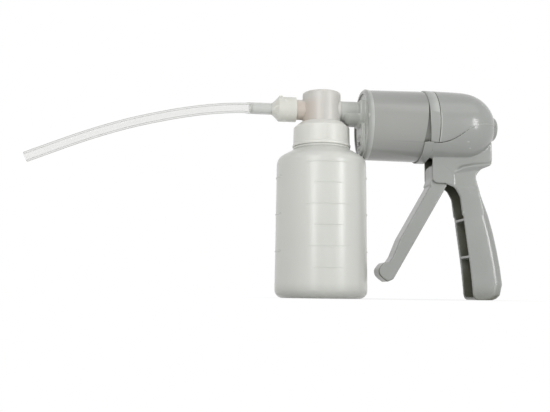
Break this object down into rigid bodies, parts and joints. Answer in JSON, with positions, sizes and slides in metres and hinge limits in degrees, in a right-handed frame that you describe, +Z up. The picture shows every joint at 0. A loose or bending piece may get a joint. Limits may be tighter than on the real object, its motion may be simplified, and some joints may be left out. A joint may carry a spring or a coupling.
{
  "type": "manual suction pump",
  "caption": "Trigger-worked suction pump on a pistol grip, plugged into the lid of a screw-on canister with a short stiff catheter.",
  "frame": {"origin": "centre of the canister's base, on the surface that the pump stands on", "axes": "+X from the canister towards the grip, +Y across the pump, +Z up along the canister's axis"},
  "size_m": [0.354, 0.0684, 0.1585],
  "materials": {
    "handle_plastic": "satin moulded grey",
    "barrel_plastic": "smooth moulded grey",
    "dark_rubber": "matt",
    "valve_rubber": "matt silicone",
    "gasket_rubber": "matt",
    "white_plastic": "satin",
    "spring_steel": "drawn wire",
    "pin_steel": "ground",
    "head_plastic": "smooth translucent",
    "collar_plastic": "smooth",
    "canister_plastic": "frosted translucent",
    "sleeve_plastic": "smooth",
    "adapter_plastic": "smooth translucent",
    "clear_tube": "clear soft plastic"
  },
  "bodies": {
    "pump": {"handle_housing": "handle_plastic", "dome_cover": "handle_plastic", "barrel": "barrel_plastic", "front_ring": "barrel_plastic", "front_cover": "handle_plastic", "cover_seal": "dark_rubber", "nozzle_seal": "dark_rubber", "exhaust_guard": "handle_plastic", "inlet_cage": "white_plastic", "return_spring": "spring_steel", "rod_guide": "white_plastic", "pivot_pin": "pin_steel", "pivot_cap": "handle_plastic"},
    "trigger_body": {"trigger": "handle_plastic"},
    "piston": {"piston_head": "white_plastic", "piston_seal": "dark_rubber", "piston_rod": "pin_steel", "piston_screw": "pin_steel", "cross_pin": "pin_steel"},
    "inlet_flap": {"inlet_disc": "valve_rubber"},
    "exhaust_flap": {"exhaust_disc": "valve_rubber"},
    "head": {"valve_head": "head_plastic", "port_gasket": "gasket_rubber", "inlet_sleeve": "sleeve_plastic", "float_cage": "white_plastic", "float_seat": "dark_rubber"},
    "collar": {"screw_collar": "collar_plastic"},
    "bottle": {"canister": "canister_plastic"},
    "float": {"float_ball": "white_plastic"},
    "catheter": {"catheter_adapter": "adapter_plastic", "catheter_tube": "clear_tube"}
  },
  "joints": [
    {"name": "trigger_squeeze", "type": "hinge", "parent": "pump", "child": "trigger_body", "pos_m": [0.09, 0, 0.097], "axis": [0, -1, 0], "range_deg": [0, 34], "stiffness_Nm_per_rad": 0.48, "springref_deg": -17.19},
    {"name": "piston_stroke", "type": "slide", "parent": "pump", "child": "piston", "axis": [-1, 0, 0], "range_m": [0, 0.0207], "deforming": ["return_spring"]},
    {"name": "inlet_flap_lift", "type": "slide", "parent": "pump", "child": "inlet_flap", "axis": [1, 0, 0], "range_m": [0, 0.001], "stiffness_N_per_m": 5, "springref_m": -0.0005},
    {"name": "exhaust_flap_lift", "type": "slide", "parent": "pump", "child": "exhaust_flap", "axis": [-1, 0, 0], "range_m": [0, 0.001], "stiffness_N_per_m": 5, "springref_m": -0.0005},
    {"name": "head_pull", "type": "slide", "parent": "pump", "child": "head", "axis": [-1, 0, 0], "range_m": [0, 0.03]},
    {"name": "collar_turn", "type": "hinge", "parent": "head", "child": "collar", "pos_m": [0, 0, 0.12], "axis": [0, 0, 1], "range_deg": [0, 720]},
    {"name": "bottle_drop", "type": "slide", "parent": "head", "child": "bottle", "axis": [0, 0, -1], "range_m": [0, 0.008]},
    {"name": "float_lift", "type": "slide", "parent": "head", "child": "float", "axis": [0, 0, 1], "range_m": [0, 0.0069]},
    {"name": "catheter_swivel", "type": "hinge", "parent": "head", "child": "catheter", "pos_m": [-0.021, 0, 0.14096], "axis": [1, 0, 0], "continuous": true}
  ],
  "couplings": [
    {"joint": "piston_stroke", "follows": "trigger_squeeze", "m_per_rad": 0.034828},
    {"joint": "bottle_drop", "follows": "collar_turn", "m_per_rad": 0.00063662}
  ]
}
